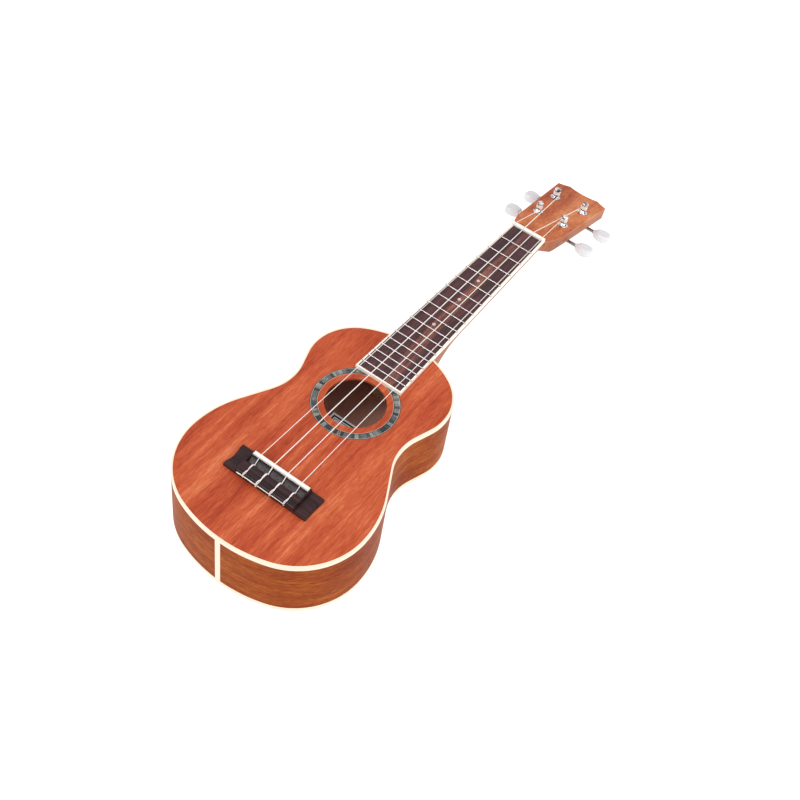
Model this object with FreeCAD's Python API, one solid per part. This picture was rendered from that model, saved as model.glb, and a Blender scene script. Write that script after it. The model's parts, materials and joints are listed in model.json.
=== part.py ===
"""A soprano ukulele, built from separate pieces, in millimetres.

The frame: +Y runs along the neck to the headstock, +X to the treble side, +Z out of the soundboard.
The origin is on the flat of the back, under the middle of the body's length.
"""

import FreeCAD, Part
import math
import os

V = FreeCAD.Vector

# ---- body ----
body_length = 245.5
body_depth = 62.0
lower_bout_width = 166.7
lower_bout_y = -56.0
lower_bout_radius = 63.4
flank_radius = 92.0
waist_width = 110.8
waist_y = 31.0
waist_fill = 0.8
upper_bout_width = 129.4
upper_bout_y = 73.0
upper_bout_radius = 44.0
top_thickness = 2.0
back_thickness = 2.0
side_thickness = 2.0
binding_thickness = 1.5
binding_height = 4.4
tail_strip_width = 5.0
lining_width = 5.0
lining_height = 11.0
lining_thick_height = 5.5
lining_thin_width = 2.2
neck_block_width = 44.0
neck_block_length = 22.0
tail_block_width = 46.0
tail_block_length = 12.0
lining_gap = 0.3

# ---- sound hole, rosette and label ----
hole_from_shoulder = 80.9
hole_radius = 25.0
rosette_inner_radius = 30.2
rosette_width = 6.0
purfling_width = 0.8
inlay_depth = 1.0
label_width = 66.0
label_length = 44.0
label_thickness = 0.3
label_past_hole = 21.0

# ---- braces ----
brace_width = 7.0
brace_height = 9.0
brace_crown = 3.0
brace_end_gap = 0.4
top_brace_hole_gap = 10.0
top_brace_low_y = -14.0
back_brace_ys = (-85.0, -38.0, 8.0)
patch_width = 96.0
patch_length = 38.0
patch_thickness = 2.0

# ---- scale and fretboard ----
scale_length = 346.0
frets_to_body = 12
fret_count = 17
compensation = 0.5
board_half_at_nut = 15.35
board_half_at_last_fret = 20.9
board_thickness = 3.2
board_binding = 1.5
board_past_last_fret = 8.1
fret_width = 1.2
fret_crown_height = 0.75
fret_tang_width = 0.5
fret_tang_depth = 1.6
fret_slot_gap = 0.02
fret_end_setback = 0.35
dot_frets = (5, 7, 10)
dot_radius = 1.5
dot_depth = 1.2
nut_thickness = 4.5
nut_rise = 1.9
nut_top_radius = 1.4
nut_slot_gap = 0.06
nut_slot_fall = 0.3
nut_string_lift = 0.35
nut_string_spread = 28.4

# ---- neck ----
neck_depth_at_nut = 14.0
neck_depth_at_body = 15.5
shaft_fullness = 0.94
heel_root_y = body_length / 2 - 2.0
heel_length = 47.0
heel_root_depth = 119.0
heel_pinch = 0.42
heel_cap_thickness = 2.0
belly_points = 13
root_length = 20.0
root_overlap = 1.0
root_end_half = 34.0
root_end_depth = 26.0
dowel_radius = 4.0
dowel_length = 24.0
dowel_gap = 0.02
dowel_zs = (20.0, 40.0)
heel_steps = 14
heel_pinch_onset = 2.2

# ---- headstock ----
head_angle = 13.5
head_thickness = 11.0
veneer_thickness = 1.2
head_half_at_nut = 16.9
head_half_shoulder = 23.2
head_shoulder_y = 25.0
head_half_tip = 26.5
head_corner_y = 107.2
head_crown_x = 15.5
head_crown_y = 111.8
head_dip_y = 109.4
head_dip_fullness = 0.28
head_corner_bulge = 0.35

# ---- tuning machines, in the headstock's own frame: x out, y to the tip, z up from its face ----
near_post = (13.6, 41.0)
far_post = (15.1, 79.0)
post_height = 10.3
post_radius = 3.0
post_waist_radius = 2.4
post_cap_edge = 0.8
post_cap_height = 1.7
post_cap_slope = 0.7
post_foot_height = 0.6
post_foot_slope = 0.9
post_clearance = 0.06
bushing_flange_radius = 4.8
bushing_flange_height = 1.2
bushing_chamfer = 0.4
bushing_barrel_radius = 4.0
bushing_barrel_length = 7.0
press_gap = 0.02
string_hole_radius = 0.75
string_hole_height = 7.3
plate_thickness = 1.0
plate_half_width = 7.2
plate_before_post = 10.0
plate_past_worm = 8.6
plate_corner = 2.5
screw_inset = 3.1
screw_hole_gap = 0.1
lug_thickness = 1.2
lug_half_width = 3.4
lug_gap = 0.15
shaft_past_lug = 0.5
worm_pitch_radius = 2.75
worm_depth = 5.0
gear_teeth = 14
gear_module = 0.65
gear_thickness = 3.0
gear_tip_clearance = 0.22
gear_root_clearance = 0.1
worm_turns = 4.0
thread_sink = 0.15
shaft_radius = 1.5
shaft_gap = 0.06
button_inner_x = 30.8
button_length = 16.4
button_width = 14.4
button_thickness = 7.4
button_neck_radius = 2.9
button_neck_length = 1.6
button_neck_sink = 1.5
button_rounding = 2.2
shaft_in_button = 0.6
gear_stub_radius = 1.9
gear_screw_radius = 1.0
gear_screw_head_radius = 2.7
gear_screw_head_height = 1.3
gear_screw_length = 4.0
gear_screw_rounding = 0.5
screw_slot_width = 0.7
screw_slot_depth = 0.6
wood_screw_radius = 1.0
wood_screw_length = 7.0
wood_screw_head_radius = 2.1
wood_screw_head_height = 1.1

# ---- bridge and saddle ----
bridge_length = 78.5
bridge_width = 23.2
bridge_wing_height = 2.8
bridge_block_half = 27.8
bridge_ridge_height = 6.0
bridge_ridge_width = 5.5
bridge_trough_height = 2.3
ramp_step = 0.5
ramp_sag = 0.5
ridge_rounding = 1.2
tie_block_width = 11.2
tie_block_height = 6.5
tie_block_rounding = 1.4
tie_block_slope = 0.8
tie_hole_radius = 0.75
tie_hole_height = 3.2
wing_scoop_rise = 60.0
trough_half = 26.6
saddle_from_front = 2.7
saddle_length = 53.0
saddle_thickness = 3.3
saddle_slot_depth = 3.6
saddle_height = 8.7
saddle_corner = 2.4
saddle_gap = 0.02
saddle_string_spread = 39.2

# ---- strings, from the bass side: name, diameter, post (side, which row) ----
strings = (
    ("g", 0.60, -1, near_post),
    ("c", 0.86, -1, far_post),
    ("e", 0.74, 1, far_post),
    ("a", 0.60, 1, near_post),
)
string_rest_gap = 0.02
saddle_crown_gap = 0.12
string_tie_gap = 0.25
string_past_ramp = 0.9
string_behind_block = 0.3
string_over_block = 0.2
string_bend_radii = (6.0, 12.0, 1.6, 1.2, 0.9, 0.9)
wrap_turn = 150.0
winding_turns = 3
winding_gap = 0.03
wrap_gap = 0.08
wrap_drop = 0.1
turn_gap = 0.01
string_end_gap = 0.03
string_end_set_back = 1.0
string_end_length = 5.4

# ---- what follows from them ----
beyond = 2 * scale_length
tiny = 1e-6
tail_y = -body_length / 2
shoulder_y = body_length / 2
top_z = body_depth
nut_y = shoulder_y + scale_length * (1 - 2 ** (-frets_to_body / 12))
saddle_y = nut_y - scale_length - compensation
hole_y = shoulder_y - hole_from_shoulder
bridge_front_y = saddle_y + saddle_from_front
bridge_back_y = bridge_front_y - bridge_width
last_fret_y = nut_y - scale_length * (1 - 2 ** (-fret_count / 12))
board_end_y = last_fret_y - board_past_last_fret
board_top_z = top_z + board_thickness
head_origin = V(0, nut_y + nut_thickness, top_z)
head_placement = FreeCAD.Placement(head_origin, FreeCAD.Rotation(V(1, 0, 0), -head_angle))
gear_pitch_radius = gear_teeth * gear_module / 2
worm_offset = gear_pitch_radius + worm_pitch_radius
thread_pitch = math.pi * gear_module
tooth_height = 1.92 * gear_module
tooth_root = 0.55 * thread_pitch
tooth_tip = 0.225 * thread_pitch
thread_root = 0.5 * thread_pitch
thread_tip = 0.205 * thread_pitch
worm_z = -head_thickness - worm_depth
waist_x = waist_width / 2
inner_inset = side_thickness + lining_width + brace_end_gap
plate_z = -head_thickness - plate_thickness
worm_length = worm_turns * thread_pitch
lug_x = worm_length / 2 + lug_gap


# ---------------------------------------------------------------- helpers
def box(x0, x1, y0, y1, z0, z1):
    return Part.makeBox(x1 - x0, y1 - y0, z1 - z0, V(x0, y0, z0))


def cylinder(radius, base, direction, length):
    return Part.makeCylinder(radius, length, base, direction)


def prism(points, direction):
    """A flat outline of straight edges, pushed along a vector."""
    return Part.Face(Part.makePolygon([*points, points[0]])).extrude(direction)


def mirrored(shape):
    return shape.mirror(V(0, 0, 0), V(1, 0, 0))


def on_head(shape):
    """Places a shape made in the headstock's frame."""
    moved = shape.copy()
    moved.Placement = head_placement.multiply(shape.Placement)
    return moved


def head_point(x, y, z):
    return head_placement.multVec(V(x, y, z))


def solids(shapes):
    return Part.makeCompound([s for shape in shapes for s in shape.Solids])


def board_half(y):
    """Half the width of the bare fretboard at a place along it."""
    slope = (board_half_at_last_fret - board_half_at_nut) / (nut_y - last_fret_y)
    return board_half_at_nut + slope * (nut_y - y)


def fret_y(number):
    return nut_y - scale_length * (1 - 2 ** (-number / 12))


# ---------------------------------------------------------------- the body's outline
def tangent_angle(convex, concave):
    """The direction from a convex arc's centre to where its shared tangent with a concave arc leaves it."""
    (cx, cy, cr), (wx, wy, wr) = convex, concave
    towards = math.atan2(wy - cy, wx - cx)
    opening = math.acos((cr + wr) / math.hypot(wx - cx, wy - cy))
    return min(towards + opening, towards - opening, key=abs)


def touching_radius(convex):
    """The radius of the waist's arc that would touch a bout's arc with no straight stretch between them."""
    cx, cy, cr = convex
    across = waist_x - cx
    return (across ** 2 + (waist_y - cy) ** 2 - cr ** 2) / (2 * (cr - across))


def closing_arc(centre, radius, end_y):
    """The arc centred on the middle line that touches the given arc and crosses the middle at end_y."""
    cx, cy = centre
    reach = abs(end_y - cy)
    r = (cx * cx + reach * reach - radius * radius) / (2 * (reach - radius))
    return end_y + r * (1 if end_y < cy else -1), r


def half_outline(inset):
    """The +X half's arcs as threes of points (start, middle, end), and its straight stretches as pairs."""
    low = (lower_bout_width / 2 - lower_bout_radius, lower_bout_y)
    flank = (lower_bout_width / 2 - flank_radius, lower_bout_y)
    up = (upper_bout_width / 2 - upper_bout_radius, upper_bout_y)
    widest = min(touching_radius((*flank, flank_radius)), touching_radius((*up, upper_bout_radius)))
    waist_radius = waist_fill * widest
    waist = (waist_x + waist_radius, waist_y)
    tail_cy, tail_r = closing_arc(low, lower_bout_radius, tail_y)
    neck_cy, neck_r = closing_arc(up, upper_bout_radius, shoulder_y)
    leave_flank = tangent_angle((*flank, flank_radius), (*waist, waist_radius))
    meet_up = tangent_angle((*up, upper_bout_radius), (*waist, waist_radius))
    tail_turn = math.atan2(low[1] - tail_cy, low[0])
    neck_turn = math.atan2(up[1] - neck_cy, up[0])
    arcs = [
        ((0, tail_cy), tail_r - inset, -math.pi / 2, tail_turn),
        (low, lower_bout_radius - inset, tail_turn, 0),
        (flank, flank_radius - inset, 0, leave_flank),
        (waist, waist_radius + inset, leave_flank + math.pi, meet_up + math.pi),
        (up, upper_bout_radius - inset, meet_up, neck_turn),
        ((0, neck_cy), neck_r - inset, neck_turn, math.pi / 2),
    ]
    pieces = []
    for (cx, cy), r, a, b in arcs:
        points = [(cx + r * math.cos(t), cy + r * math.sin(t)) for t in (a, (a + b) / 2, b)]
        if pieces and math.dist(pieces[-1][-1], points[0]) > tiny:
            pieces.append([pieces[-1][-1], points[0]])
        pieces.append(points)
    return pieces


def outline_face(inset, z):
    edges = []
    for side in (1, -1):
        for piece in half_outline(inset):
            points = [V(side * x, y, z) for x, y in piece]
            edges.append(Part.Arc(*points).toShape() if len(points) == 3 else Part.makeLine(*points))
    return Part.Face(Part.Wire(Part.__sortEdges__(edges)))


def slab(inset, z0, z1):
    """The body's outline, drawn in by an inset, from one height to another."""
    return outline_face(inset, z0).extrude(V(0, 0, z1 - z0))


def ring(outer_inset, inner_inset, z0, z1):
    return slab(outer_inset, z0, z1).cut(slab(inner_inset, z0, z1))


# ---------------------------------------------------------------- body pieces
def soundboard():
    board = slab(binding_thickness, top_z - top_thickness, top_z)
    up = V(0, 0, 1)
    board = board.cut(cylinder(hole_radius, V(0, hole_y, 0), up, beyond))
    channel = rosette_inner_radius + rosette_width
    groove = cylinder(channel, V(0, hole_y, top_z - inlay_depth), up, inlay_depth)
    island = cylinder(rosette_inner_radius, V(0, hole_y, top_z - inlay_depth), up, inlay_depth)
    return board.cut(groove.cut(island))


def flat_ring(inner, outer):
    base = V(0, hole_y, top_z - inlay_depth)
    up = V(0, 0, 1)
    return cylinder(outer, base, up, inlay_depth).cut(cylinder(inner, base, up, inlay_depth))


def rosette():
    inner = rosette_inner_radius + purfling_width
    return flat_ring(inner, rosette_inner_radius + rosette_width - purfling_width)


def purflings():
    outer = rosette_inner_radius + rosette_width
    return solids([
        flat_ring(rosette_inner_radius, rosette_inner_radius + purfling_width),
        flat_ring(outer - purfling_width, outer),
    ])


def back_plate():
    return slab(binding_thickness, 0, back_thickness)


def bindings():
    rebate = binding_thickness
    return ring(0, rebate, top_z - binding_height, top_z), ring(0, rebate, 0, binding_height)


def sides():
    """Two bent strips, stepped under the bindings, that meet at the neck and stop at the tail strip."""
    wall = ring(0, side_thickness, binding_height, top_z - binding_height)
    inner = ring(binding_thickness, side_thickness, back_thickness, top_z - top_thickness)
    rim = wall.fuse(inner).removeSplitter()
    half_strip = tail_strip_width / 2
    treble = rim.common(box(0, beyond, -beyond, beyond, -beyond, beyond))
    treble = treble.cut(box(-half_strip, half_strip, -beyond, 0, -beyond, beyond))
    treble = treble.cut(dowels(dowel_radius + dowel_gap))
    return mirrored(treble), treble


def tail_strip():
    wall = ring(0, side_thickness, binding_height, top_z - binding_height)
    inner = ring(binding_thickness, side_thickness, back_thickness, top_z - top_thickness)
    half_strip = tail_strip_width / 2
    place = box(-half_strip, half_strip, -beyond, 0, -beyond, beyond)
    return wall.fuse(inner).removeSplitter().common(place)


def lining(z_plate, direction):
    """The glue strip in a corner of the body, thick by the plate and thin further along the side.

    The direction is +1 or -1, away from the plate. The strip stops short of the two blocks.
    """
    far_edge = z_plate + direction * lining_height
    thick_edge = z_plate + direction * lining_thick_height
    inner = side_thickness + lining_width
    thick = ring(side_thickness, inner, min(z_plate, thick_edge), max(z_plate, thick_edge))
    thin_inner = side_thickness + lining_thin_width
    thin = ring(side_thickness, thin_inner, min(thick_edge, far_edge), max(thick_edge, far_edge))
    strip = thick.fuse(thin)
    for block in (neck_block_space(lining_gap), tail_block_space(lining_gap)):
        strip = strip.cut(block)
    return strip.removeSplitter()


def neck_block_space(grow):
    half = neck_block_width / 2 + grow
    return box(-half, half, shoulder_y - neck_block_length - grow, beyond, -beyond, beyond)


def tail_block_space(grow):
    half = tail_block_width / 2 + grow
    return box(-half, half, -beyond, tail_y + tail_block_length + grow, -beyond, beyond)


def blocks():
    inside = slab(side_thickness, back_thickness, top_z - top_thickness)
    neck_block = inside.common(neck_block_space(0)).cut(dowels(dowel_radius + dowel_gap))
    return neck_block, inside.common(tail_block_space(0))


def dowels(radius):
    """Round pegs along +Y, from the neck block into the heel."""
    start = shoulder_y - side_thickness - dowel_length / 2
    pegs = [cylinder(radius, V(0, start, z), V(0, 1, 0), dowel_length) for z in dowel_zs]
    return solids(pegs)


def brace(y, z_plate, direction):
    """A bar across the body, crowned on the side away from the plate, that stops short of the linings."""
    y0, y1 = y - brace_width / 2, y + brace_width / 2
    shoulder = z_plate + direction * (brace_height - brace_crown)
    feet = [V(-beyond, y0, z_plate), V(-beyond, y1, z_plate)]
    edges = [V(-beyond, y0, shoulder), V(-beyond, y1, shoulder)]
    crown = V(-beyond, y, z_plate + direction * brace_height)
    profile = Part.Wire([
        Part.makeLine(feet[0], feet[1]),
        Part.makeLine(feet[1], edges[1]),
        Part.Arc(edges[1], crown, edges[0]).toShape(),
        Part.makeLine(edges[0], feet[0]),
    ])
    bar = Part.Face(profile).extrude(V(2 * beyond, 0, 0))
    return bar.common(slab(inner_inset, 0, body_depth))


def top_braces():
    under = top_z - top_thickness
    reach = hole_radius + top_brace_hole_gap
    return solids([brace(y, under, -1) for y in (hole_y + reach, hole_y - reach, top_brace_low_y)])


def back_braces():
    return solids([brace(y, back_thickness, 1) for y in back_brace_ys])


def bridge_patch():
    """A thin plate glued under the bridge, which stops short of the linings and the tail block."""
    under = top_z - top_thickness
    middle = (bridge_front_y + bridge_back_y) / 2
    half, reach = patch_width / 2, patch_length / 2
    patch = box(-half, half, middle - reach, middle + reach, under - patch_thickness, under)
    return patch.common(slab(inner_inset, 0, body_depth)).cut(tail_block_space(brace_end_gap))


def label():
    half = label_width / 2
    y1 = hole_y + label_past_hole
    return box(-half, half, y1 - label_length, y1, back_thickness, back_thickness + label_thickness)


# ---------------------------------------------------------------- neck and headstock
def round_section(y, half, depth, fullness, pinch):
    """A flat top and a rounded belly, from a circle's cosine and sine raised to a power: a power
    of one gives half an ellipse, and a smaller one a fuller shape. The pinch draws in the middle."""
    points = []
    for i in range(belly_points):
        t = math.pi * i / (belly_points - 1)
        across = math.copysign(abs(math.cos(t)) ** fullness, math.cos(t))
        down = math.sin(t) ** fullness
        points.append(V(half * across * (1 - pinch * down ** 2), y, -depth * down))
    belly = Part.BSplineCurve()
    belly.interpolate(points)
    return Part.Wire([belly.toShape(), Part.makeLine(points[-1], points[0])])


def heel_share(y):
    """How much heel there is at a place along the neck: 1 at its root, 0 where the plain shaft begins."""
    along = (y - heel_root_y) / heel_length
    return (1 - along) ** 3 if along < 1 else 0


def shaft_section(y):
    along = (y - shoulder_y) / (nut_y - shoulder_y)
    plain = neck_depth_at_body + (neck_depth_at_nut - neck_depth_at_body) * along
    depth = plain + (heel_root_depth - plain) * heel_share(y)
    pinch = heel_pinch * min(1, heel_share(y) * heel_pinch_onset)
    section = round_section(y, board_half(y) + board_binding, depth, shaft_fullness, pinch)
    section.translate(V(0, 0, top_z))
    return section


def shaft_and_heel():
    """The neck from the body to the back of the nut, with the heel swept down to the plane of the back."""
    stations = [heel_root_y + heel_length * i / heel_steps for i in range(heel_steps + 1)]
    heel = Part.makeLoft([shaft_section(y) for y in stations], True, False)
    ends = [shaft_section(stations[-1]), shaft_section(nut_y + nut_thickness)]
    return heel.fuse(Part.makeLoft(ends, True, True))


def head_flare():
    """The centre and radius of the arc that widens the headstock from the nut to its straight side."""
    along = V(head_half_tip - head_half_shoulder, head_corner_y - head_shoulder_y, 0).normalize()
    inward = V(-along.y, along.x, 0)
    chord = V(head_half_at_nut - head_half_shoulder, -head_shoulder_y, 0)
    radius = chord.Length ** 2 / (2 * chord.dot(inward))
    centre = V(head_half_shoulder, head_shoulder_y, 0) + inward * radius
    return centre, radius


def head_half(y):
    """Half the headstock's width in the flare behind the nut."""
    centre, radius = head_flare()
    return centre.x + math.sqrt(radius ** 2 - (y - centre.y) ** 2)


def head_outline(z):
    """The headstock's shape, on a plane of its own frame."""
    right = [
        V(head_half_at_nut, 0, z),
        V(head_half_shoulder, head_shoulder_y, z),
        V(head_half_tip, head_corner_y, z),
        V(head_crown_x, head_crown_y, z),
        V(0, head_dip_y, z),
    ]
    left = [V(-p.x, p.y, p.z) for p in right]
    bulge = V(head_half(head_shoulder_y / 2), head_shoulder_y / 2, z)
    dip = V(head_crown_x / 2, head_dip_y + (head_crown_y - head_dip_y) * head_dip_fullness, z)
    flare = V((head_half_tip + head_crown_x) / 2, (head_corner_y + head_crown_y) / 2 - head_corner_bulge, z)
    edges = [Part.makeLine(left[0], right[0])]
    for side, corner in ((1, right), (-1, left)):
        edges.append(Part.Arc(corner[0], V(side * bulge.x, bulge.y, z), corner[1]).toShape())
        edges.append(Part.makeLine(corner[1], corner[2]))
        edges.append(Part.Arc(corner[2], V(side * flare.x, flare.y, z), corner[3]).toShape())
    dips = [Part.Arc(c[3], V(s * dip.x, dip.y, z), c[4]).toShape() for s, c in ((1, right), (-1, left))]
    return Part.Face(Part.Wire(Part.__sortEdges__(edges + dips)))


def head_slab(z0, z1):
    return on_head(head_outline(z0).extrude(V(0, 0, z1 - z0)))


def tuner_posts():
    """The places of the posts in the headstock's frame, as (string, side, x, y)."""
    return [(name, side, side * x, y) for name, _, side, (x, y) in strings]


def tuner_bores(radius, z0, z1):
    return [on_head(cylinder(radius, V(x, y, z0), V(0, 0, 1), z1 - z0)) for _, _, x, y in tuner_posts()]


def head_root():
    """Where the round shaft turns into the flat headstock.

    Its belly widens like a cone, which fades the square edges in, and its underside slopes from the
    shaft's depth to the headstock's thickness.
    """
    nut_section = round_section(0, head_half_at_nut, neck_depth_at_nut, shaft_fullness, 0)
    wide_section = round_section(root_length, root_end_half, root_end_depth, shaft_fullness, 0)
    cone = Part.makeLoft([nut_section, wide_section], True, True)
    side = [
        V(-beyond, 0, 0),
        V(-beyond, root_length, 0),
        V(-beyond, root_length, -head_thickness),
        V(-beyond, 0, -neck_depth_at_nut - root_overlap),
    ]
    plan = head_outline(-2 * head_thickness).extrude(V(0, 0, 2 * head_thickness))
    return cone.common(prism(side, V(2 * beyond, 0, 0))).common(plan)


def neck():
    shaft = shaft_and_heel().common(box(-beyond, beyond, heel_root_y, beyond, heel_cap_thickness, top_z))
    shaft = shaft.cut(slab(0, -beyond, beyond))
    under_veneer = on_head(box(-beyond, beyond, -beyond, beyond, -beyond, -veneer_thickness))
    head = head_outline(-head_thickness).extrude(V(0, 0, head_thickness))
    head = head.common(box(-beyond, beyond, root_length - root_overlap, beyond, -beyond, beyond))
    head = on_head(head.fuse(head_root())).common(under_veneer)
    whole = shaft.fuse(head).removeSplitter()
    whole = whole.cut(dowels(dowel_radius + dowel_gap))
    for bore in tuner_bores(bushing_barrel_radius + press_gap, -beyond, beyond):
        whole = whole.cut(bore)
    return whole.cut(wood_screws(press_gap))


def heel_cap():
    """The thin plate on the heel's foot, in the plane of the back."""
    foot = shaft_and_heel().common(box(-beyond, beyond, heel_root_y, beyond, 0, heel_cap_thickness))
    return foot.cut(slab(0, -beyond, beyond))


def head_veneer():
    veneer = head_slab(-veneer_thickness, 0)
    for bore in tuner_bores(bushing_barrel_radius + press_gap, -beyond, beyond):
        veneer = veneer.cut(bore)
    return veneer


# ---------------------------------------------------------------- fretboard
def board_plan(grow, y0, y1, z0, z1):
    """The tapered board between two places, wider by grow on each side."""
    a, b = board_half(y0) + grow, board_half(y1) + grow
    points = [V(-a, y0, z0), V(a, y0, z0), V(b, y1, z0), V(-b, y1, z0)]
    return prism(points, V(0, 0, z1 - z0))


def fretboard():
    board = board_plan(0, board_end_y + board_binding, nut_y, top_z, board_top_z)
    for n in range(1, fret_count + 1):
        half = fret_tang_width / 2 + fret_slot_gap
        y = fret_y(n)
        slot_z = board_top_z - fret_tang_depth - fret_slot_gap
        board = board.cut(box(-beyond, beyond, y - half, y + half, slot_z, beyond))
    for dot in dot_places():
        board = board.cut(cylinder(dot_radius, dot, V(0, 0, 1), dot_depth))
    return board


def fretboard_binding():
    outer = board_plan(board_binding, board_end_y, nut_y, top_z, board_top_z)
    inner = board_plan(0, board_end_y + board_binding, nut_y, top_z, board_top_z)
    return outer.cut(inner)


def frets():
    """Wires with a round crown on the board and a thin tang in its slot, which stops at the binding."""
    made = []
    half, tang_half = fret_width / 2, fret_tang_width / 2
    low = board_top_z - fret_tang_depth
    for n in range(1, fret_count + 1):
        y = fret_y(n)
        reach = board_half(y) + board_binding - fret_end_setback
        front, back = V(-reach, y - half, board_top_z), V(-reach, y + half, board_top_z)
        arc = Part.Arc(front, V(-reach, y, board_top_z + fret_crown_height), back).toShape()
        crown = Part.Face(Part.Wire([arc, Part.makeLine(back, front)])).extrude(V(2 * reach, 0, 0))
        tang_reach = board_half(y + fret_tang_width) - fret_slot_gap
        tang = box(-tang_reach, tang_reach, y - tang_half, y + tang_half, low, board_top_z)
        made.append(crown.fuse(tang).removeSplitter())
    return solids(made)


def dot_places():
    return [V(0, (fret_y(n) + fret_y(n - 1)) / 2, board_top_z - dot_depth) for n in dot_frets]


def position_dots():
    return solids([cylinder(dot_radius, dot, V(0, 0, 1), dot_depth) for dot in dot_places()])


def string_xs(spread):
    return [-spread / 2 + spread * i / (len(strings) - 1) for i in range(len(strings))]


def nut_string_z():
    """The height of the slots' floors: level with the tops of the frets, and a little more."""
    return board_top_z + fret_crown_height + nut_string_lift


def nut():
    """A slip with a rounded back edge and a slot per string, which falls away towards the headstock."""
    half = board_half_at_nut + board_binding
    top = board_top_z + nut_rise
    front, back = nut_y, nut_y + nut_thickness
    away = nut_top_radius * (1 - math.sqrt(0.5))
    round_start, round_end = V(-half, back - nut_top_radius, top), V(-half, back, top - nut_top_radius)
    corners = [round_end, V(-half, back, top_z), V(-half, front, top_z), V(-half, front, top), round_start]
    edges = [Part.makeLine(p, q) for p, q in zip(corners, corners[1:])]
    edges.append(Part.Arc(round_start, V(-half, back - away, top - away), round_end).toShape())
    block = Part.Face(Part.Wire(edges)).extrude(V(2 * half, 0, 0))
    for x, (_, diameter, _, _) in zip(string_xs(nut_string_spread), strings):
        r = diameter / 2 + nut_slot_gap
        middle = V(x, (front + back) / 2, nut_string_z() + diameter / 2)
        block = block.cut(cylinder(r, middle, V(0, -1, 0), nut_thickness))
        block = block.cut(cylinder(r, middle, V(0, 1, -nut_slot_fall), nut_thickness))
        block = block.cut(box(x - r, x + r, -beyond, beyond, middle.z, beyond))
    return block


# ---------------------------------------------------------------- bridge
def bridge_middle():
    """The raised middle: a ridge for the saddle and a tie block behind it, their outer edges rounded."""
    front, back, x = bridge_front_y, bridge_back_y, -bridge_block_half
    ridge = top_z + bridge_ridge_height
    tie = top_z + tie_block_height
    tie_front = back + tie_block_width
    corners = [
        V(x, front - ridge_rounding, ridge),
        V(x, tie_front, ridge),
        V(x, tie_front - tie_block_slope, tie),
        V(x, back + tie_block_rounding, tie),
    ]
    edges = [Part.makeLine(p, q) for p, q in zip(corners, corners[1:])]
    away = 1 - math.sqrt(0.5)
    front_middle = V(x, front - ridge_rounding * away, ridge - ridge_rounding * away)
    back_middle = V(x, back + tie_block_rounding * away, tie - tie_block_rounding * away)
    front_low, back_low = V(x, front, ridge - ridge_rounding), V(x, back, tie - tie_block_rounding)
    edges.append(Part.Arc(front_low, front_middle, corners[0]).toShape())
    edges.append(Part.Arc(corners[-1], back_middle, back_low).toShape())
    feet = [back_low, V(x, back, top_z), V(x, front, top_z), front_low]
    edges += [Part.makeLine(p, q) for p, q in zip(feet, feet[1:])]
    return Part.Face(Part.Wire(Part.__sortEdges__(edges))).extrude(V(2 * bridge_block_half, 0, 0))


def bridge_trough():
    """The ramp behind the saddle that the strings dive down to their holes, deepest at the tie block."""
    front = bridge_front_y - bridge_ridge_width
    back = bridge_back_y + tie_block_width
    floor = top_z + bridge_trough_height
    rim = top_z + bridge_ridge_height - ramp_step
    high = beyond
    x = -trough_half
    hollow = V(x, (front + back) / 2, (floor + rim) / 2 - ramp_sag)
    edges = [
        Part.Arc(V(x, back, floor), hollow, V(x, front, rim)).toShape(),
        Part.makeLine(V(x, front, rim), V(x, front, high)),
        Part.makeLine(V(x, front, high), V(x, back, high)),
        Part.makeLine(V(x, back, high), V(x, back, floor)),
    ]
    return Part.Face(Part.Wire(edges)).extrude(V(2 * trough_half, 0, 0))


def bridge_end_scoop():
    """A slanted cylinder that coves the end of a wing, deepest half way across."""
    scoop_radius = ((bridge_width / 2) ** 2 + bridge_wing_height ** 2) / (2 * bridge_wing_height)
    slope = math.radians(wing_scoop_rise)
    outward = V(math.cos(slope), 0, -math.sin(slope))
    normal = V(math.sin(slope), 0, math.cos(slope))
    tip = V(bridge_length / 2, (bridge_front_y + bridge_back_y) / 2, top_z)
    start = tip + normal * scoop_radius - outward * bridge_width
    return cylinder(scoop_radius, start, outward, 2 * bridge_width)


def bridge():
    """A low plate with coved ends, a raised middle, the saddle's slot and the strings' tie holes."""
    half = bridge_length / 2
    plate = box(-half, half, bridge_back_y, bridge_front_y, top_z, top_z + bridge_wing_height)
    scoop = bridge_end_scoop()
    body = plate.cut(scoop).cut(mirrored(scoop)).fuse(bridge_middle()).removeSplitter()
    body = body.cut(bridge_trough()).cut(saddle_blank(saddle_gap, beyond))
    for x in string_xs(saddle_string_spread):
        mouth = V(x, bridge_front_y - bridge_ridge_width, top_z + tie_hole_height)
        body = body.cut(cylinder(tie_hole_radius, mouth, V(0, -1, 0), bridge_width))
    return body


def saddle_blank(grow, top):
    half_x = saddle_length / 2 + grow
    half_y = saddle_thickness / 2 + grow
    low = top_z + bridge_ridge_height - saddle_slot_depth
    return box(-half_x, half_x, saddle_y - half_y, saddle_y + half_y, low, top)


def saddle():
    """A slip of bone with a round top, standing in the bridge's slot, its upper corners rounded."""
    top = top_z + saddle_height
    half_x, half_y = saddle_length / 2, saddle_thickness / 2
    crown = cylinder(half_y, V(-half_x, saddle_y, top - half_y), V(1, 0, 0), saddle_length)
    slip = saddle_blank(0, top - half_y).fuse(crown).removeSplitter()
    inner_x, low = half_x - saddle_corner, top - saddle_corner
    y0, y1 = saddle_y - saddle_thickness, saddle_y + saddle_thickness
    keep = cylinder(saddle_corner, V(inner_x, y0, low), V(0, 1, 0), y1 - y0)
    nick = box(inner_x, beyond, y0, y1, low, beyond).cut(keep)
    return slip.cut(nick).cut(mirrored(nick))


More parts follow.
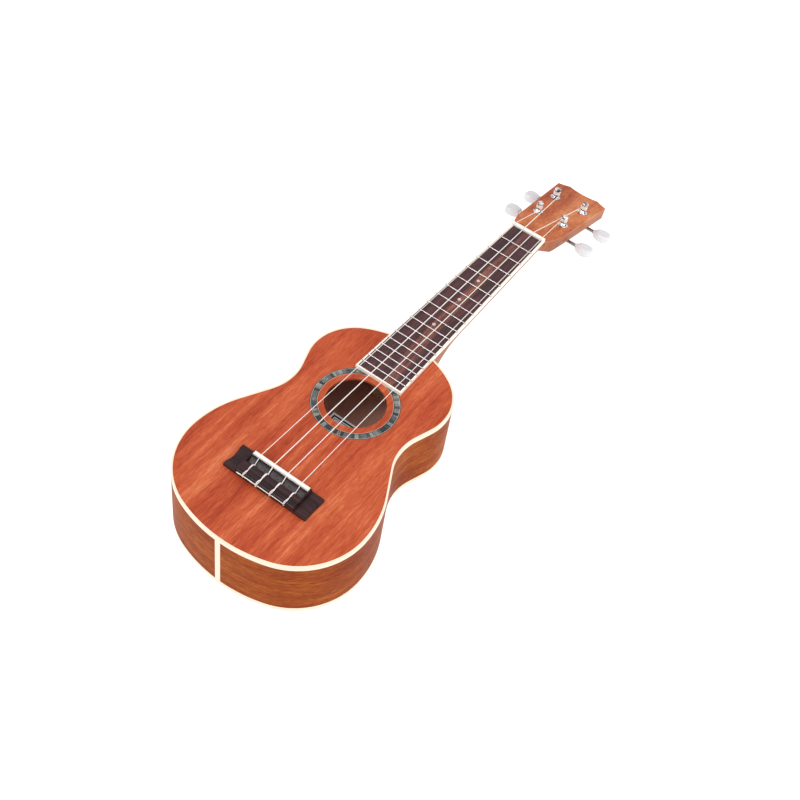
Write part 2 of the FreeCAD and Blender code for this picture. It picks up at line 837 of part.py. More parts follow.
# ---------------------------------------------------------------- tuning machines
def bushing(x, y):
    """A pressed-in sleeve with a chamfered flange on the headstock's face."""
    up = V(0, 0, 1)
    flange = cylinder(bushing_flange_radius, V(x, y, 0), up, bushing_flange_height)
    rim = [e for e in flange.Edges if abs(e.BoundBox.ZMin - bushing_flange_height) < tiny]
    flange = flange.makeChamfer(bushing_chamfer, rim)
    barrel = cylinder(bushing_barrel_radius, V(x, y, -bushing_barrel_length), up, bushing_barrel_length)
    bore = cylinder(post_radius + post_clearance, V(x, y, -beyond), up, 2 * beyond)
    return on_head(flange.fuse(barrel).removeSplitter().cut(bore))


def post(x, y):
    """Turned post: cap, waist for the string, journal through the bushing, and a stub for the gear."""
    gear_top = worm_z + gear_thickness / 2
    gear_low = gear_top - gear_thickness
    cap_low = post_height - post_cap_height
    foot = bushing_flange_height + post_foot_height
    thread = gear_screw_radius + press_gap
    thread_end = gear_low + gear_screw_length + press_gap
    profile = [
        (0, post_height),
        (post_radius - post_cap_edge, post_height),
        (post_radius, post_height - post_cap_edge),
        (post_radius, cap_low),
        (post_waist_radius, cap_low - post_cap_slope),
        (post_waist_radius, foot + post_foot_slope),
        (post_radius, foot),
        (post_radius, gear_top),
        (gear_stub_radius, gear_top),
        (gear_stub_radius, gear_low),
        (thread, gear_low),
        (thread, thread_end),
        (0, thread_end),
    ]
    face = Part.Face(Part.makePolygon([V(x + r, y, z) for r, z in [*profile, profile[0]]]))
    turned = face.revolve(V(x, y, 0), V(0, 0, 1), 360)
    side = V(x, y - 2 * post_radius, string_hole_height)
    return on_head(turned.cut(cylinder(string_hole_radius, side, V(0, 1, 0), 4 * post_radius)))


def gear(x, y):
    """Fourteen tapered teeth on a disc that sits on the post's stub."""
    root = gear_pitch_radius - tooth_height / 2 - gear_tip_clearance + gear_root_clearance
    tip = gear_pitch_radius + tooth_height / 2 - gear_tip_clearance
    low = worm_z - gear_thickness / 2
    points = []
    for i in range(gear_teeth):
        middle = 2 * math.pi * (i + 0.5) / gear_teeth + math.pi / 2
        for radius, width in ((root, -tooth_root), (tip, -tooth_tip), (tip, tooth_tip), (root, tooth_root)):
            a = middle + width / (2 * radius)
            points.append(V(x + radius * math.cos(a), y + radius * math.sin(a), low))
    disc = prism(points, V(0, 0, gear_thickness))
    bore = cylinder(gear_stub_radius + press_gap, V(x, y, -beyond), V(0, 0, 1), 2 * beyond)
    return on_head(disc.cut(bore))


def gear_screw(x, y):
    """A slotted screw from below that holds the gear on the post's stub."""
    up = V(0, 0, 1)
    low = worm_z - gear_thickness / 2
    foot = low - gear_screw_head_height
    head = cylinder(gear_screw_head_radius, V(x, y, foot), up, gear_screw_head_height)
    rim = [e for e in head.Edges if abs(e.BoundBox.ZMax - foot) < tiny]
    head = head.makeFillet(gear_screw_rounding, rim)
    shank = cylinder(gear_screw_radius, V(x, y, low), up, gear_screw_length)
    half = screw_slot_width / 2
    slot = box(x - post_radius, x + post_radius, y - half, y + half, -beyond, foot + screw_slot_depth)
    return on_head(head.fuse(shank).removeSplitter().cut(slot))


def worm(x, y):
    """A single-start right-hand worm cut on the button's shaft, along +X, centred on its gear."""
    root = worm_pitch_radius - tooth_height / 2
    tip = worm_pitch_radius + tooth_height / 2 - gear_tip_clearance
    helix = Part.makeHelix(thread_pitch, worm_length - thread_root, root)
    a, b, foot = thread_root / 2, thread_tip / 2, root - thread_sink
    wall = Part.makePolygon([V(foot, 0, -a), V(tip, 0, -b), V(tip, 0, b), V(foot, 0, a), V(foot, 0, -a)])
    thread = Part.Wire(helix).makePipeShell([wall], True, True)
    thread.translate(V(0, 0, thread_root / 2))
    core = Part.makeCylinder(root, worm_length)
    body = core.fuse(thread).common(Part.makeCylinder(2 * tip, worm_length))
    body.translate(V(0, 0, -worm_length / 2))
    shaft_end = button_inner_x - x + button_length * shaft_in_button
    tail = lug_x + lug_thickness + shaft_past_lug
    shaft = Part.makeCylinder(shaft_radius, tail + shaft_end, V(0, 0, -tail))
    body = body.fuse(shaft)
    turn = FreeCAD.Rotation(V(0, 1, 0), 90)
    body.Placement = FreeCAD.Placement(V(x, y + worm_offset, worm_z), turn)
    return body


def button_outline(z):
    """The grip seen from above: waisted at the neck, widest past its middle, with a gently rounded end."""
    x0 = button_inner_x + button_neck_length
    length = button_length - button_neck_length
    half = button_width / 2
    shares = ((0, 0.58), (0.16, 0.77), (0.38, 0.96), (0.62, 1), (0.84, 0.86), (0.97, 0.5))
    right = [V(x0 + length * along, half * across, z) for along, across in shares]
    left = [V(point.x, -point.y, z) for point in reversed(right)]
    rim = Part.BSplineCurve()
    rim.interpolate([*right, V(x0 + length, 0, z), *left])
    return Part.Face(Part.Wire([rim.toShape(), Part.makeLine(left[-1], right[0])]))


def button(y):
    """A moulded grip with rounded edges on a short neck, with a blind hole for the shaft."""
    thick = button_thickness
    grip = button_outline(-thick / 2).extrude(V(0, 0, thick))
    rims = [e for e in grip.Edges if abs(abs(e.CenterOfMass.z) - thick / 2) < tiny]
    grip = grip.makeFillet(button_rounding, rims)
    inner, out = V(button_inner_x, 0, 0), V(1, 0, 0)
    collar = cylinder(button_neck_radius, inner, out, button_neck_length + button_neck_sink)
    bore = cylinder(shaft_radius + press_gap, inner, out, button_length * shaft_in_button + press_gap)
    made = grip.fuse(collar).removeSplitter().cut(bore)
    made.translate(V(0, y + worm_offset, worm_z))
    return made


def plate(x, y):
    """A stamped plate with two ears that carry the worm's shaft."""
    up, out = V(0, 0, 1), V(1, 0, 0)
    wy = y + worm_offset
    corner = V(x - plate_half_width, y - plate_before_post, plate_z)
    length = plate_before_post + worm_offset + plate_past_worm
    base = Part.makeBox(2 * plate_half_width, length, plate_thickness, corner)
    upright = [e for e in base.Edges if abs(e.BoundBox.ZLength - plate_thickness) < tiny]
    base = base.makeFillet(plate_corner, upright)
    base = base.cut(cylinder(post_radius + post_clearance, V(x, y, -beyond), up, 2 * beyond))
    for side in (1, -1):
        inner = x + side * lug_x
        a, b = sorted((inner, inner + side * lug_thickness))
        ear = box(a, b, wy - lug_half_width, wy + lug_half_width, worm_z, plate_z)
        base = base.fuse(ear.fuse(cylinder(lug_half_width, V(a, wy, worm_z), out, b - a)))
    bearing = cylinder(shaft_radius + shaft_gap, V(-beyond, wy, worm_z), out, 2 * beyond)
    base = base.removeSplitter().cut(bearing)
    for sx, sy in screw_spots(x, y):
        base = base.cut(cylinder(wood_screw_radius + screw_hole_gap, V(sx, sy, -beyond), up, 2 * beyond))
    return base


def screw_spots(x, y):
    return [(x, y - plate_before_post + screw_inset), (x, y + worm_offset + plate_past_worm - screw_inset)]


def wood_screws(grow):
    """The screws that hold the plates, grown by a clearance to make their holes."""
    made = []
    for _, _, x, y in tuner_posts():
        for sx, sy in screw_spots(x, y):
            top, foot = V(sx, sy, plate_z), V(sx, sy, plate_z - wood_screw_head_height)
            shank = cylinder(wood_screw_radius + grow, top, V(0, 0, 1), wood_screw_length + grow)
            head = cylinder(wood_screw_head_radius, foot, V(0, 0, 1), wood_screw_head_height)
            made.append(on_head(shank.fuse(head).removeSplitter()))
    return solids(made)


# ---------------------------------------------------------------- strings
def bend(points, radii):
    """A path of straight runs through points, each corner rounded by its own radius."""
    edges = []
    start = points[0]
    for i in range(1, len(points) - 1):
        before = (points[i - 1] - points[i]).normalize()
        after = (points[i + 1] - points[i]).normalize()
        half_angle = before.getAngle(after) / 2
        back = radii[i - 1] / math.tan(half_angle)
        p, q = points[i] + before * back, points[i] + after * back
        to_centre = (before + after).normalize()
        centre = points[i] + to_centre * (radii[i - 1] / math.sin(half_angle))
        middle = centre - to_centre * radii[i - 1]
        edges.append(Part.makeLine(start, p))
        edges.append(Part.Arc(p, middle, q).toShape())
        start = q
    edges.append(Part.makeLine(start, points[-1]))
    return edges


def tube(edges, radius):
    path = Part.Wire(edges)
    first = edges[0]
    start = first.valueAt(first.FirstParameter)
    direction = first.tangentAt(first.FirstParameter)
    ring_wire = Part.Wire(Part.Edge(Part.Circle(start, direction, radius)))
    return path.makePipeShell([ring_wire], True, False)


def wrap_height(diameter):
    """Height above the headstock's face of the lowest turn, the one that the string's run ends in."""
    top_turn = string_hole_height - string_hole_radius - diameter / 2 - wrap_drop
    return top_turn - winding_turns * (diameter + winding_gap)


def string_route(index):
    """The corners of a string's path from the back of the nut to the end that lies on the tie block."""
    r = strings[index][1] / 2
    nut_x = string_xs(nut_string_spread)[index]
    x = string_xs(saddle_string_spread)[index]
    nut_z = nut_string_z() + r + string_rest_gap
    hole_z = top_z + tie_hole_height
    ramp_y = bridge_back_y + tie_block_width
    behind_y = bridge_back_y - r - string_tie_gap - string_behind_block
    block_z = top_z + tie_block_height + r + string_tie_gap
    return [
        V(nut_x, nut_y + nut_thickness, nut_z),
        V(nut_x, nut_y, nut_z),
        V(x, saddle_y, top_z + saddle_height + r + string_rest_gap + saddle_crown_gap),
        V(x, ramp_y + string_past_ramp, hole_z),
        V(x, behind_y, hole_z),
        V(x, behind_y, block_z),
        V(x, ramp_y + string_over_block, block_z),
    ]


def string(index):
    """Round its post for part of a turn, over nut and saddle, through the tie block and back over it."""
    _, diameter, side, (px, py) = strings[index]
    route = string_route(index)
    post_x = side * px
    height = wrap_height(diameter)
    wrap_radius = post_waist_radius + diameter / 2 + wrap_gap
    leave = head_placement.inverse().multVec(route[0])
    dx, dy = leave.x - post_x, leave.y - py
    contact = math.atan2(dy, dx) - side * math.acos(wrap_radius / math.hypot(dx, dy))
    wrap = []
    for share in (1, 0.5, 0):
        a = contact - side * math.radians(wrap_turn) * share
        wrap.append(head_point(post_x + wrap_radius * math.cos(a), py + wrap_radius * math.sin(a), height))
    return tube([Part.Arc(*wrap).toShape(), *bend([wrap[-1], *route], string_bend_radii)], diameter / 2)


def winding(index):
    """Turns of string lying on each other round the post, and the end that goes through the post's hole."""
    _, diameter, side, (px, py) = strings[index]
    r = diameter / 2
    x = side * px
    made = []
    for i in range(1, winding_turns + 1):
        height = wrap_height(diameter) + i * (diameter + winding_gap)
        made.append(Part.makeTorus(post_waist_radius + r + turn_gap, r, V(x, py, height), V(0, 0, 1)))
    end_radius = min(r, string_hole_radius - string_end_gap)
    start = V(x, py - string_end_length, string_hole_height)
    made.append(cylinder(end_radius, start, V(0, 1, 0), 2 * string_end_length - string_end_set_back))
    return on_head(solids(made))


# ---------------------------------------------------------------- the build
def build():
    top_binding, back_binding = bindings()
    bass_side, treble_side = sides()
    neck_block, tail_block = blocks()
    under = top_z - top_thickness
    parts = {
        "soundboard": soundboard(),
        "rosette_shell": rosette(),
        "rosette_purflings": purflings(),
        "back_plate": back_plate(),
        "side_bass": bass_side,
        "side_treble": treble_side,
        "tail_strip": tail_strip(),
        "top_binding": top_binding,
        "back_binding": back_binding,
        "top_lining": lining(under, -1),
        "back_lining": lining(back_thickness, 1),
        "neck_block": neck_block,
        "tail_block": tail_block,
        "top_braces": top_braces(),
        "back_braces": back_braces(),
        "bridge_patch": bridge_patch(),
        "label": label(),
        "heel_dowels": dowels(dowel_radius),
        "neck": neck(),
        "heel_cap": heel_cap(),
        "head_veneer": head_veneer(),
        "fretboard": fretboard(),
        "fretboard_binding": fretboard_binding(),
        "frets": frets(),
        "position_dots": position_dots(),
        "nut": nut(),
        "bridge": bridge(),
        "saddle": saddle(),
        "tuner_screws": wood_screws(0),
    }
    bushings, plates = [], []
    for index, (name, side, x, y) in enumerate(tuner_posts()):
        bushings.append(bushing(x, y))
        machine = [plate(abs(x), y), worm(abs(x), y), button(y)]
        if side < 0:
            machine = [mirrored(shape) for shape in machine]
        plate_here, worm_here, button_here = (on_head(shape) for shape in machine)
        plates.append(plate_here)
        parts["worm_" + name] = worm_here
        parts["button_" + name] = button_here
        parts["post_" + name] = post(x, y)
        parts["gear_" + name] = gear(x, y)
        parts["gear_screw_" + name] = gear_screw(x, y)
        parts["winding_" + name] = winding(index)
        parts["string_" + name] = string(index)
    parts["tuner_bushings"] = solids(bushings)
    parts["tuner_plates"] = solids(plates)
    return parts


def main():
    os.makedirs("parts", exist_ok=True)
    for name, shape in build().items():
        if not shape.isValid() or not shape.Solids or shape.Volume <= 0:
            print("check this shape:", name, shape.isValid(), len(shape.Solids), shape.Volume)
        shape.exportStep(f"parts/{name}.step")


main()
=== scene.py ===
import json
import math

import bpy
import numpy as np
from mathutils import Matrix, Vector


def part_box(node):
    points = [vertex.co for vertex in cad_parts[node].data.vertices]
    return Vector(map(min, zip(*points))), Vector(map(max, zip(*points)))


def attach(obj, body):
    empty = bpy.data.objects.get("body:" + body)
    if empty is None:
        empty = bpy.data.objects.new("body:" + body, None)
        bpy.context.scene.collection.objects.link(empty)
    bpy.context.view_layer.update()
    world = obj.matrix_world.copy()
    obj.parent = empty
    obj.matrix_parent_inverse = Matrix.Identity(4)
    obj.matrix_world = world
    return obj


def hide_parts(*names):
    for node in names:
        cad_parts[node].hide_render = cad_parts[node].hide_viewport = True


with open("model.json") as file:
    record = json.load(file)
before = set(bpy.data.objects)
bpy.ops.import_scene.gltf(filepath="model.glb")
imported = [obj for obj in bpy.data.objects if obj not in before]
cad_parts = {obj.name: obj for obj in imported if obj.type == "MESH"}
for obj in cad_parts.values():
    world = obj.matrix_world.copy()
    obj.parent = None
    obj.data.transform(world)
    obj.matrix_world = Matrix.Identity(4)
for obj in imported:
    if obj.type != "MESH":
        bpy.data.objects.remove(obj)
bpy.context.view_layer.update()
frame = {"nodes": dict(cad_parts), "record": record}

# ================================================================ camera, floor and light
# The camera stands to the tail's right, well above the soundboard, and leans a little to one side.
# The floor is a white sheet lit from within, so no shade lies on it. A bright room fills the dark sides,
# a large soft light on the bass side makes the gloss, and a weaker one lifts the treble side.
camera_place = (0.33805, -0.50778, 0.86498)
camera_azimuth = math.radians(28.551)
camera_elevation = math.radians(50.793)
camera_roll = math.radians(9.696)
camera_lens = 58.607
floor_half = 12.0
floor_glow = 0.78
room_glow = 0.74

lens = bpy.data.cameras.new("camera")
lens.lens = camera_lens
lens.sensor_width = 36.0
lens.clip_start = 0.01
camera = bpy.data.objects.new("camera", lens)
turn = (
    Matrix.Rotation(camera_azimuth, 4, "Z")
    @ Matrix.Rotation(math.pi / 2 - camera_elevation, 4, "X")
    @ Matrix.Rotation(camera_roll, 4, "Z")
)
camera.matrix_world = Matrix.Translation(camera_place) @ turn
bpy.context.collection.objects.link(camera)
bpy.context.scene.camera = camera
bpy.context.scene.view_settings.view_transform = "Standard"


class Shade:
    """A shader socket that sums are written with: each operator adds a Math node."""

    def __init__(self, tree, socket):
        self.tree = tree
        self.socket = socket

    def node(self, kind, settings=None, inputs=None, output=0):
        """Adds a node of a type, applies its settings, then its sockets' values or links,
        and gives one of its outputs."""
        made = self.tree.nodes.new(kind)
        for key, value in (settings or {}).items():
            if key == "stops":
                ramp = made.color_ramp
                while len(ramp.elements) < len(value):
                    ramp.elements.new(1.0)
                for element, (position, colour) in zip(ramp.elements, value):
                    element.position = position
                    element.color = (*colour, 1.0)
            else:
                setattr(made, key, value)
        for key, value in (inputs or {}).items():
            if isinstance(value, Shade):
                self.tree.links.new(value.socket, made.inputs[key])
            else:
                made.inputs[key].default_value = value
        return Shade(self.tree, made.outputs[output])

    def math(self, operation, *values):
        """Adds one Math node."""
        return self.node("ShaderNodeMath", {"operation": operation}, dict(enumerate(values)))

    def __add__(self, other):
        return self.math("ADD", self, other)

    def __radd__(self, other):
        return self.math("ADD", other, self)

    def __sub__(self, other):
        return self.math("SUBTRACT", self, other)

    def __rsub__(self, other):
        return self.math("SUBTRACT", other, self)

    def __mul__(self, other):
        return self.math("MULTIPLY", self, other)

    def __rmul__(self, other):
        return self.math("MULTIPLY", other, self)

    def __truediv__(self, other):
        return self.math("DIVIDE", self, other)

    def __rtruediv__(self, other):
        return self.math("DIVIDE", other, self)

    def __pow__(self, other):
        return self.math("POWER", self, other)

    def __abs__(self):
        return self.math("ABSOLUTE", self)

    def fade(self, low, high):
        """0 below low, 1 above high, smooth between; the other way round when high is less than low."""
        inputs = {"Value": self, "From Min": low, "From Max": high}
        return self.node("ShaderNodeMapRange", {"interpolation_type": "SMOOTHSTEP"}, inputs)

    def colours(self, *stops):
        """The colour ramp's colour at this value."""
        return self.node("ShaderNodeValToRGB", {"stops": stops}, {0: self})

    def axes(self):
        """The x, y and z of a vector."""
        return [self.node("ShaderNodeSeparateXYZ", {}, {0: self}, axis) for axis in range(3)]

    def stretched(self, stretch, shift):
        """Coordinates scaled on each axis, then moved."""
        return self.node("ShaderNodeMapping", {}, {"Vector": self, "Location": shift, "Scale": stretch})

    def noise(self, stretch, shift=(0.0, 0.0, 0.0), detail=3.0, rough=0.5, warp=0.0):
        """Cloudy noise with so many waves a metre on each axis. The shift only picks another stretch of
        cloud, so that no two patterns run together."""
        inputs = {"Vector": self.stretched(tuple(stretch), shift), "Scale": 1.0, "Detail": detail}
        inputs.update({"Roughness": rough, "Distortion": warp})
        return self.node("ShaderNodeTexNoise", {}, inputs)

    def blend(self, low, high):
        """A colour between two, with this value as the share of the second."""
        return self.node("ShaderNodeMix", {"data_type": "RGBA"}, {0: self, 6: low, 7: high}, 2)


class Finish:
    """A material. What is the same all over is set on its shader, and what varies is linked to it."""

    def __init__(self, name, **uniform):
        self.material = bpy.data.materials.new(name)
        self.material.use_nodes = True
        self.tree = self.material.node_tree
        self.shader = self.tree.nodes["Principled BSDF"]
        for key, value in uniform.items():
            self.shader.inputs[key.replace("_", " ")].default_value = value
        self.place = Shade(self.tree, self.tree.nodes.new("ShaderNodeTexCoord").outputs["Object"])

    def vary(self, **inputs):
        """Links a value that changes over the surface to each socket named."""
        for key, value in inputs.items():
            self.tree.links.new(value.socket, self.shader.inputs[key.replace("_", " ")])

    def emboss(self, height, depth):
        """Dents and bumps: a height from 0 to 1, and how many metres 1 stands for."""
        inputs = {"Height": height, "Distance": depth, "Strength": 1.0}
        self.vary(Normal=height.node("ShaderNodeBump", {}, inputs))

    def on(self, *names):
        """Puts the material on CAD pieces."""
        for name in names:
            cad_piece = frame["nodes"][name]
            cad_piece.data.materials.clear()
            cad_piece.data.materials.append(self.material)


def flat_sheet(name, half, height):
    """A level square: four corners at plus and minus half."""
    corners = np.array([[-1, -1], [1, -1], [1, 1], [-1, 1]]) * half
    mesh = bpy.data.meshes.new(name)
    mesh.from_pydata([(x, y, height) for x, y in corners], [], [(0, 1, 2, 3)])
    sheet = bpy.data.objects.new(name, mesh)
    bpy.context.collection.objects.link(sheet)
    return sheet


def soft_light(name, place, aim, size, watts):
    """A square lamp at a place, turned to face a point."""
    lamp = bpy.data.lights.new(name, "AREA")
    lamp.size = size
    lamp.energy = watts
    holder = bpy.data.objects.new(name, lamp)
    holder.location = place
    holder.rotation_euler = (Vector(aim) - Vector(place)).to_track_quat("-Z", "Y").to_euler()
    bpy.context.collection.objects.link(holder)


floor = flat_sheet("floor", floor_half, 0.0)
white_sheet = Finish("white_sheet", Roughness=0.9, Specular_IOR_Level=0.1, Emission_Strength=floor_glow)
white_sheet.shader.inputs["Emission Color"].default_value = (1.0, 1.0, 1.0, 1.0)
speckle = white_sheet.place.noise((40, 40, 40))
white_sheet.vary(Base_Color=speckle.colours((0.0, (0.46, 0.46, 0.46)), (1.0, (0.50, 0.50, 0.50))))
floor.data.materials.append(white_sheet.material)

room = bpy.data.worlds.new("room")
room.use_nodes = True
room.node_tree.nodes["Background"].inputs["Color"].default_value = (1.0, 1.0, 1.0, 1.0)
room.node_tree.nodes["Background"].inputs["Strength"].default_value = room_glow
bpy.context.scene.world = room
soft_light("key_light", place=(-0.75, -1.0, 2.0), aim=(0.0, 0.05, 0.05), size=1.2, watts=22.0)
soft_light("treble_fill", place=(1.3, 0.2, 0.9), aim=(0.0, 0.0, 0.04), size=1.0, watts=8.0)


# ================================================================ the sides and the back
# Thin mahogany, the sides bent to the body's outline so that the grain runs round them, the back flat
# with its grain along the body. They are golden brown under a satin lacquer, and the back is left bare
# on its inner face.
def mahogany(name, stretch, colours, fineness=1.0, figure=0.3, gloss=0.22, coat=0.1):
    """Ribbon-figured wood: broad bands that wander, finer streaks, threads, short flecks and short dark
    pores, all drifting lighter and darker from place to place.

    stretch scales the waves a metre on each axis: small along the grain, 1 across it. fineness scales
    them all, and figure is the share of the bands in the shade. The bands are drawn out further along
    the body."""
    wood = Finish(name, Specular_IOR_Level=gloss, Coat_Roughness=0.25)
    across = np.array(stretch) * fineness
    drawn_out = np.array((1.0, 0.6, 1.0))
    bands = wood.place.noise(80 * across * drawn_out, (3.1, 0.0, 1.7), detail=2.0, warp=0.4)
    streaks = wood.place.noise(300 * across, (0.0, 7.0, 2.0), detail=4.0, rough=0.6, warp=0.4)
    threads = wood.place.noise(1100 * across, (5.0, 2.0, 0.0), rough=0.6)
    flecks = wood.place.noise(560 * across + 70, (1.0, 4.0, 9.0), rough=0.65)
    pores = wood.place.noise(2100 * across + 50, (8.0, 1.0, 3.0), detail=1.0)
    drift = wood.place.noise((17, 17, 17), (4.0, 6.0, 1.0), detail=1.0)
    shade = bands * figure + (streaks * 0.29 + threads * 0.26 + flecks * 0.45) * (1.0 - figure)
    shade = shade + 0.22 * (drift - 0.5)
    pits = pores.fade(0.36, 0.27)
    darkest = colours[0][1]
    pit_colour = (*(0.5 * share for share in darkest), 1.0)
    wood.figure = (pits * 0.6).blend(shade.colours(*colours), pit_colour)
    wood.vary(Base_Color=wood.figure)
    wood.vary(Roughness=0.4 + 0.14 * streaks + 0.1 * pits, Coat_Weight=coat - 0.8 * coat * pits)
    wood.emboss(1.0 - pits, depth=0.00005)
    return wood


side_colours = (
    (0.34, (0.13, 0.012, 0.001)),
    (0.45, (0.23, 0.032, 0.002)),
    (0.56, (0.35, 0.073, 0.006)),
    (0.68, (0.52, 0.160, 0.021)),
)
round_the_sides = (0.09, 0.09, 1.0)
side_wood = mahogany(
    "side_mahogany", round_the_sides, side_colours, fineness=1.7, figure=0.2, gloss=0.05, coat=0.02
)
side_wood.on("side_bass", "side_treble")

lacquered_up_to = 0.0012
bare_from = 0.0016
along_the_back = (1.0, 0.06, 1.0)
back_wood = mahogany("back_mahogany", along_the_back, side_colours, gloss=0.1, coat=0.04)
back_inside = back_wood.place.axes()[2].fade(lacquered_up_to, bare_from)
bare_streaks = back_wood.place.noise((600, 36, 600), (0.0, 1.0, 3.0), detail=4.0, rough=0.6)
bare_colour = bare_streaks.blend((0.62, 0.30, 0.24, 1.0), (0.84, 0.50, 0.40, 1.0))
back_wood.vary(Base_Color=back_inside.blend(back_wood.figure, bare_colour))
back_wood.on("back_plate")


# ================================================================ inside the body
# Blocks of basswood join the neck and the tail, and basswood strips line the glued corners. Spruce bars
# stiffen the back and the top. All of it is left bare.
def bare_wood(name, stretch, low, high):
    """Unfinished pale wood: soft streaks drawn out along the grain, and a fine nap."""
    wood = Finish(name, Roughness=0.8)
    across = np.array(stretch)
    streaks = wood.place.noise(600 * across, (0.0, 1.0, 3.0), detail=4.0, rough=0.6)
    wood.vary(Base_Color=streaks.fade(0.3, 0.7).blend((*low, 1.0), (*high, 1.0)))
    wood.emboss(wood.place.noise(2000 * across + 200), depth=0.00008)
    return wood


basswood = bare_wood("bare_basswood", (0.08, 0.08, 1.0), (0.58, 0.40, 0.23), (0.76, 0.57, 0.37))
basswood.on("top_lining", "back_lining", "neck_block", "tail_block")
spruce = bare_wood("bare_spruce", (0.06, 1.0, 1.0), (0.68, 0.50, 0.30), (0.86, 0.70, 0.48))
spruce.on("top_braces", "back_braces", "bridge_patch", "heel_dowels")


# ================================================================ the label
# A silvery paper label with a double black border, printed on its face. It is glued to the back's inner
# face, under the sound hole. It glows faintly in its own colours, a painted glow standing in for the
# light that reaches it through the hole.
def printed_line(to_edge, near, far, blur):
    """1 between two distances from the label's edge and 0 elsewhere, with blurred borders."""
    return to_edge.fade(near - blur, near + blur) * to_edge.fade(far + blur, far - blur)


label_low, label_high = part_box("label")
# Painted light: the label glows (Emission Strength 0.22) in its printed colours, for the light from the
# hole.
paper = Finish("label_paper", Roughness=0.4, Emission_Strength=0.22)
paper_x, paper_y, _ = paper.place.axes()
label_middle = (label_low + label_high) / 2
label_half = (label_high - label_low) / 2
to_edge_x = label_half.x - abs(paper_x - label_middle.x)
to_edge_y = label_half.y - abs(paper_y - label_middle.y)
to_edge = paper_x.math("MINIMUM", to_edge_x, to_edge_y)
thick_line = printed_line(to_edge, near=0.0017, far=0.0033, blur=0.0001)
thin_line = printed_line(to_edge, near=0.00445, far=0.00505, blur=0.00005)
sheen = paper.place.noise((300, 300, 300), (2.0, 0.0, 0.0), detail=4.0)
paper_colour = sheen.blend((0.80, 0.79, 0.82, 1.0), (0.93, 0.92, 0.94, 1.0))
printed_colour = (thick_line + thin_line).blend(paper_colour, (0.015, 0.015, 0.017, 1.0))
# The same colour is also its painted glow.
paper.vary(Base_Color=printed_colour, Emission_Color=printed_colour)
paper.on("label")

# ================================================================ the soundboard
# One thin sheet of red ribbon mahogany, its grain along the body, lightly striped and lacquered satin.
# A still thinner sheet of it, more orange, is glued on the headstock's face.
top_colours = (
    (0.36, (0.31, 0.033, 0.010)),
    (0.45, (0.43, 0.061, 0.018)),
    (0.55, (0.54, 0.102, 0.034)),
    (0.66, (0.70, 0.205, 0.084)),
)
along_the_top = (1.0, 0.055, 1.0)
top_wood = mahogany("top_mahogany", along_the_top, top_colours, fineness=1.15, figure=0.36)
top_wood.on("soundboard")

head_colours = (
    (0.38, (0.32, 0.052, 0.015)),
    (0.46, (0.45, 0.102, 0.029)),
    (0.54, (0.57, 0.165, 0.054)),
    (0.64, (0.71, 0.270, 0.115)),
)
head_wood = mahogany("head_mahogany", along_the_top, head_colours, fineness=0.8, figure=0.42)
head_wood.on("head_veneer")

# ================================================================ the rosette
# A ring of shell chips laid into the top round the sound hole, each chip catching another colour. It lies
# between two fibre rings, each a fine white line and a black one. All are scraped level with the top and
# lacquered with it.
ring_low, ring_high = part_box("rosette_purflings")
shell_low, shell_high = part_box("rosette_shell")
ring_middle = (ring_low + ring_high) / 2
ring_outside = (ring_high.x - ring_low.x) / 2
shell_outside = (shell_high.x - shell_low.x) / 2
shell_width = 0.0044
purfling_width = ring_outside - shell_outside
white_line = 0.00022
line_blur = 0.00004
chip_length = 0.0030

shell = Finish("shell_inlay", Roughness=0.2, Coat_Weight=0.4, Coat_Roughness=0.08)
shell_x, shell_y, _ = shell.place.stretched((1, 1, 1), -ring_middle).axes()
around = shell_y.math("ARCTAN2", shell_y, shell_x) * (shell_outside / chip_length)
chips = around.node("ShaderNodeTexVoronoi", {"voronoi_dimensions": "1D"}, {"W": around, "Scale": 1.0}, 1)
chip = shell.place.node("ShaderNodeSeparateColor", {}, {0: chips})
ripple = shell.place.noise((680, 680, 680), (0.0, 3.0, 0.0), detail=4.0, rough=0.7, warp=2.2)
tint = (chip * 0.46 + ripple * 0.54).colours(
    (0.26, (0.006, 0.008, 0.010)),
    (0.37, (0.018, 0.028, 0.034)),
    (0.44, (0.14, 0.16, 0.11)),
    (0.50, (0.018, 0.026, 0.085)),
    (0.57, (0.38, 0.38, 0.30)),
    (0.66, (0.045, 0.038, 0.050)),
)
shell.vary(Base_Color=tint)
shell.on("rosette_shell")

purfling = Finish("purfling_lines", Roughness=0.4, Coat_Weight=0.2)
line_x, line_y, _ = purfling.place.stretched((1, 1, 1), -ring_middle).axes()
away = (line_x * line_x + line_y * line_y) ** 0.5
from_outer_ring = abs(away - shell_outside)
from_inner_ring = abs(away - (shell_outside - shell_width - purfling_width))
from_start = away.math("MINIMUM", from_outer_ring, from_inner_ring)
on_line = from_start.fade(white_line + line_blur, white_line - line_blur)
purfling.vary(Base_Color=on_line.blend((0.005, 0.004, 0.004, 1.0), (0.66, 0.58, 0.48, 1.0)))
purfling.on("rosette_purflings")


# ================================================================ bindings and tail strip
# Cream celluloid strips glued round both edges of the body, down the tail joint, along the fretboard and
# under the heel, then scraped flush and polished. They are faintly clouded. The board's is painted paler,
# a painted highlight for the strong light that washes it out.
def celluloid(name, shift, low, high):
    """Cream plastic with a faint cloud in it, between two colours."""
    strip = Finish(name, Roughness=0.35, Coat_Weight=0.2, Coat_Roughness=0.15, Specular_IOR_Level=0.3)
    cloud = strip.place.noise((60, 60, 500), shift)
    strip.vary(Base_Color=cloud.blend((*low, 1.0), (*high, 1.0)))
    return strip


cream = celluloid("cream_binding", (0.0, 0.0, 4.0), (0.86, 0.70, 0.52), (0.94, 0.82, 0.66))
cream.on("top_binding", "back_binding", "tail_strip", "heel_cap")
# Painted highlight: the board's binding is a paler copy of the cream, for the light that washes it out.
pale = celluloid("board_binding", (0.0, 0.0, 7.0), (0.96, 0.87, 0.76), (0.98, 0.93, 0.85))
pale.on("fretboard_binding")

